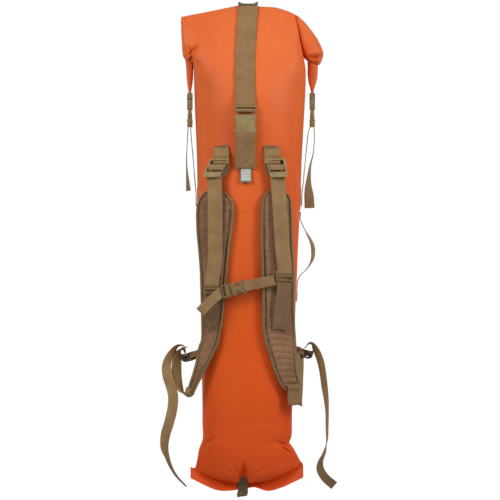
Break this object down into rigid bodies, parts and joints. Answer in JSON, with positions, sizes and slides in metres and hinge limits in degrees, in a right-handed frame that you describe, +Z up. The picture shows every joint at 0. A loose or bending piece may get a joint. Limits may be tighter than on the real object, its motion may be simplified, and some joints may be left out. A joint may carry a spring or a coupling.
{
  "type": "roll-top waterproof bag",
  "caption": "Long roll-top waterproof bag with a padded backpack harness, strapped closure, side carry loop and bottom haul loop",
  "frame": {"origin": "midway between the two shoulder-strap anchors, on the front skin of the hanging bag", "axes": "+Z up along the bag, +X to the right when the harness faces the viewer, harness side faces -Y"},
  "size_m": [0.4368, 0.2441, 1.2275],
  "materials": {
    "coated_fabric": "satin coated fabric, welded, orange",
    "webbing": "woven webbing, coyote brown",
    "pad_fabric": "woven nylon over foam, coyote brown",
    "buckle_plastic": "moulded acetal, tan, satin",
    "label": "blank woven tag",
    "stiffener": "black flexible strip"
  },
  "bodies": {
    "bag": {"bag_shell": "coated_fabric", "centre_strap": "webbing", "name_tag": "label", "side_strap_left": "webbing", "side_strap_right": "webbing", "side_patch_left": "coated_fabric", "side_patch_right": "coated_fabric", "upper_anchor_left": "webbing", "upper_anchor_right": "webbing", "lower_anchor_left": "webbing", "lower_anchor_right": "webbing", "lower_lock_left": "buckle_plastic", "lower_lock_right": "buckle_plastic", "lower_webbing_left": "webbing", "lower_webbing_right": "webbing", "lower_tail_left": "webbing", "lower_tail_right": "webbing", "side_handle_end_upper": "webbing", "side_handle_end_lower": "webbing", "bottom_loop_front": "webbing", "bottom_loop_back": "webbing"},
    "closure": {"rolled_collar": "coated_fabric", "closure_stiffener": "stiffener", "ear_left": "coated_fabric", "ear_right": "coated_fabric", "ear_tab_left": "coated_fabric", "ear_tab_right": "coated_fabric", "top_strap": "webbing", "top_keeper": "webbing", "centre_buckle_male": "buckle_plastic", "side_buckle_female_left": "buckle_plastic", "side_buckle_female_right": "buckle_plastic"},
    "centre_latch": {"centre_buckle_female": "buckle_plastic"},
    "side_latch_left": {"side_buckle_male_left": "buckle_plastic", "side_tail_left": "webbing"},
    "side_latch_right": {"side_buckle_male_right": "buckle_plastic", "side_tail_right": "webbing"},
    "harness": {"upper_lock_left": "buckle_plastic", "upper_lock_right": "buckle_plastic", "shoulder_webbing_left": "webbing", "shoulder_webbing_right": "webbing", "shoulder_pad_left": "pad_fabric", "shoulder_pad_right": "pad_fabric"},
    "sternum": {"sternum_slider_left": "buckle_plastic", "sternum_slider_right": "buckle_plastic", "sternum_webbing_left": "webbing", "sternum_webbing_right": "webbing", "sternum_tail": "webbing", "sternum_buckle_male": "buckle_plastic"},
    "sternum_latch": {"sternum_buckle_female": "buckle_plastic"},
    "side_handle": {"side_handle": "webbing"},
    "bottom_loop": {"bottom_loop": "webbing"}
  },
  "joints": [
    {"name": "closure_lift", "type": "slide", "parent": "bag", "child": "closure", "axis": [0, 0, 1], "range_m": [0, 0.06]},
    {"name": "centre_release", "type": "slide", "parent": "bag", "child": "centre_latch", "axis": [0, 0, -1], "range_m": [0, 0.025], "deforming": ["centre_strap"]},
    {"name": "side_release_left", "type": "slide", "parent": "bag", "child": "side_latch_left", "axis": [0, 0, -1], "range_m": [0, 0.025], "deforming": ["side_strap_left"]},
    {"name": "side_release_right", "type": "slide", "parent": "bag", "child": "side_latch_right", "axis": [0, 0, -1], "range_m": [0, 0.025], "deforming": ["side_strap_right"]},
    {"name": "harness_swing", "type": "hinge", "parent": "bag", "child": "harness", "pos_m": [0, -0.01, 0], "axis": [-1, 0, 0], "range_deg": [0, 25], "deforming": ["lower_webbing_left", "lower_webbing_right"]},
    {"name": "sternum_height", "type": "slide", "parent": "harness", "child": "sternum", "axis": [0, -0.0665, 0.9978], "range_m": [-0.02, 0.02]},
    {"name": "sternum_release", "type": "slide", "parent": "sternum", "child": "sternum_latch", "axis": [0.9724, 0, 0.2334], "range_m": [0, 0.025], "deforming": ["sternum_webbing_right"]},
    {"name": "side_handle_swing", "type": "hinge", "parent": "bag", "child": "side_handle", "pos_m": [0.129, 0.11, -0.22], "axis": [0, 0, 1], "range_deg": [-25, 25]},
    {"name": "bottom_loop_swing", "type": "hinge", "parent": "bag", "child": "bottom_loop", "pos_m": [-0.0156, 0.11, -0.8205], "axis": [1, 0, 0], "range_deg": [-25, 25]}
  ]
}
